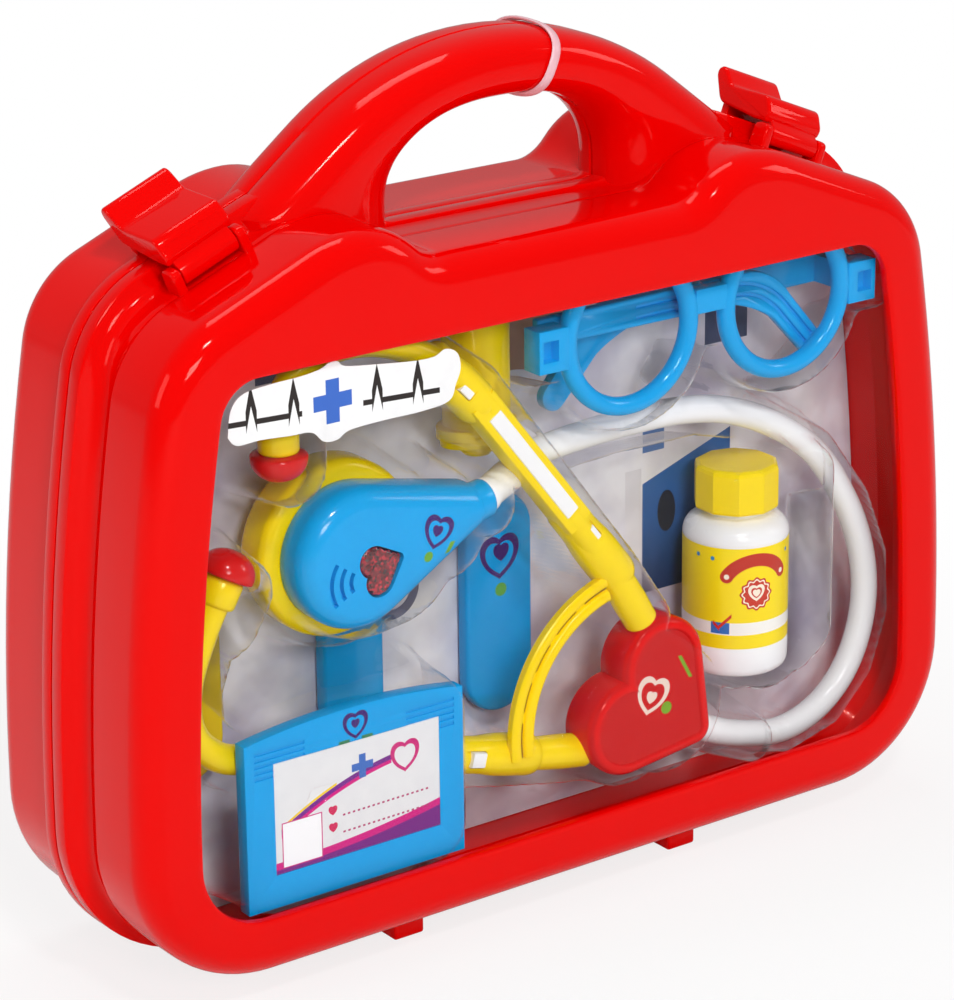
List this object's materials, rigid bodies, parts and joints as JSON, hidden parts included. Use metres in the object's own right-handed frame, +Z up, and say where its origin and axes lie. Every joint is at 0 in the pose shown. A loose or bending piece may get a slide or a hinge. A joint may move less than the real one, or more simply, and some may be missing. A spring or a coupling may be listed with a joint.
{
  "type": "toy doctor case",
  "caption": "Red hinged toy doctor case with a clear window, handle and latches, holding a toy stethoscope, glasses, bottle and name card in a blister.",
  "frame": {"origin": "middle of the footprint, on the ground under the feet", "axes": "+X along the case's width, +Y from the windowed front to the back, +Z up to the handle"},
  "size_m": [0.289, 0.08, 0.249],
  "materials": {
    "red_shell": "glossy moulded red",
    "clear_sheet": "clear plastic sheet",
    "white_print": "printed paper",
    "printed_card": "printed card",
    "tie_plastic": "translucent plastic",
    "pin_steel": "drawn wire",
    "yellow_plastic": "glossy moulded yellow",
    "blue_plastic": "glossy moulded blue",
    "white_plastic": "smooth white",
    "red_toy": "glossy moulded red",
    "button_red": "clear dark red",
    "label_yellow": "printed paper label",
    "board_green": "lacquered board",
    "cell_steel": "bright steel",
    "speaker_black": "plain"
  },
  "bodies": {
    "case_front": {"front_shell": "red_shell", "front_handle": "red_shell", "front_feet": "red_shell", "front_hinge_lugs": "red_shell", "hinge_pins": "pin_steel", "window_pane": "clear_sheet", "window_sticker": "white_print", "blister_tray": "clear_sheet", "backing_card": "printed_card", "latch_brackets": "red_shell", "latch_pins": "pin_steel", "cable_tie": "tie_plastic", "ear_tips": "red_toy", "ear_collars": "yellow_plastic", "ear_tube_upper": "yellow_plastic", "ear_tube_lower": "yellow_plastic", "arm_sleeves": "yellow_plastic", "spring_band": "yellow_plastic", "heart_junction": "red_toy", "junction_badge": "red_toy", "stethoscope_tube": "white_plastic", "tube_connector": "white_plastic", "chest_shell": "blue_plastic", "chest_disc": "yellow_plastic", "circuit_board": "board_green", "button_cells": "cell_steel", "speaker": "speaker_black", "glasses_frame": "blue_plastic", "glasses_temple_left": "blue_plastic", "glasses_temple_right": "blue_plastic", "bottle_body": "white_plastic", "bottle_label": "label_yellow", "card_holder": "blue_plastic", "card_label": "white_print", "yellow_syringe": "yellow_plastic", "yellow_spatula": "yellow_plastic", "blue_spatula": "blue_plastic", "blue_tweezers": "blue_plastic"},
    "case_rear": {"rear_shell": "red_shell", "rear_handle": "red_shell", "rear_feet": "red_shell", "rear_hinge_lugs": "red_shell"},
    "latch_left": {"latch_left": "red_shell"},
    "latch_right": {"latch_right": "red_shell"},
    "heart_button": {"heart_button": "button_red"},
    "bottle_cap": {"bottle_cap": "yellow_plastic"}
  },
  "joints": [
    {"name": "case_hinge", "type": "hinge", "parent": "case_front", "child": "case_rear", "pos_m": [0, 0.001, 0.0025], "axis": [-1, 0, 0], "range_deg": [0, 120], "deforming": ["cable_tie"]},
    {"name": "left_latch", "type": "hinge", "parent": "case_front", "child": "latch_left", "pos_m": [-0.09867, -0.0125, 0.20326], "axis": [0.9239, 0, 0.3827], "range_deg": [0, 95]},
    {"name": "right_latch", "type": "hinge", "parent": "case_front", "child": "latch_right", "pos_m": [0.09867, -0.0125, 0.20326], "axis": [0.9239, 0, -0.3827], "range_deg": [0, 95]},
    {"name": "button_press", "type": "slide", "parent": "case_front", "child": "heart_button", "axis": [0, 1, 0], "range_m": [0, 0.0012], "stiffness_N_per_m": 150},
    {"name": "cap_turn", "type": "hinge", "parent": "case_front", "child": "bottle_cap", "pos_m": [0.074, -0.0203, 0.107], "axis": [0, 0, 1], "range_deg": [0, 180]}
  ]
}
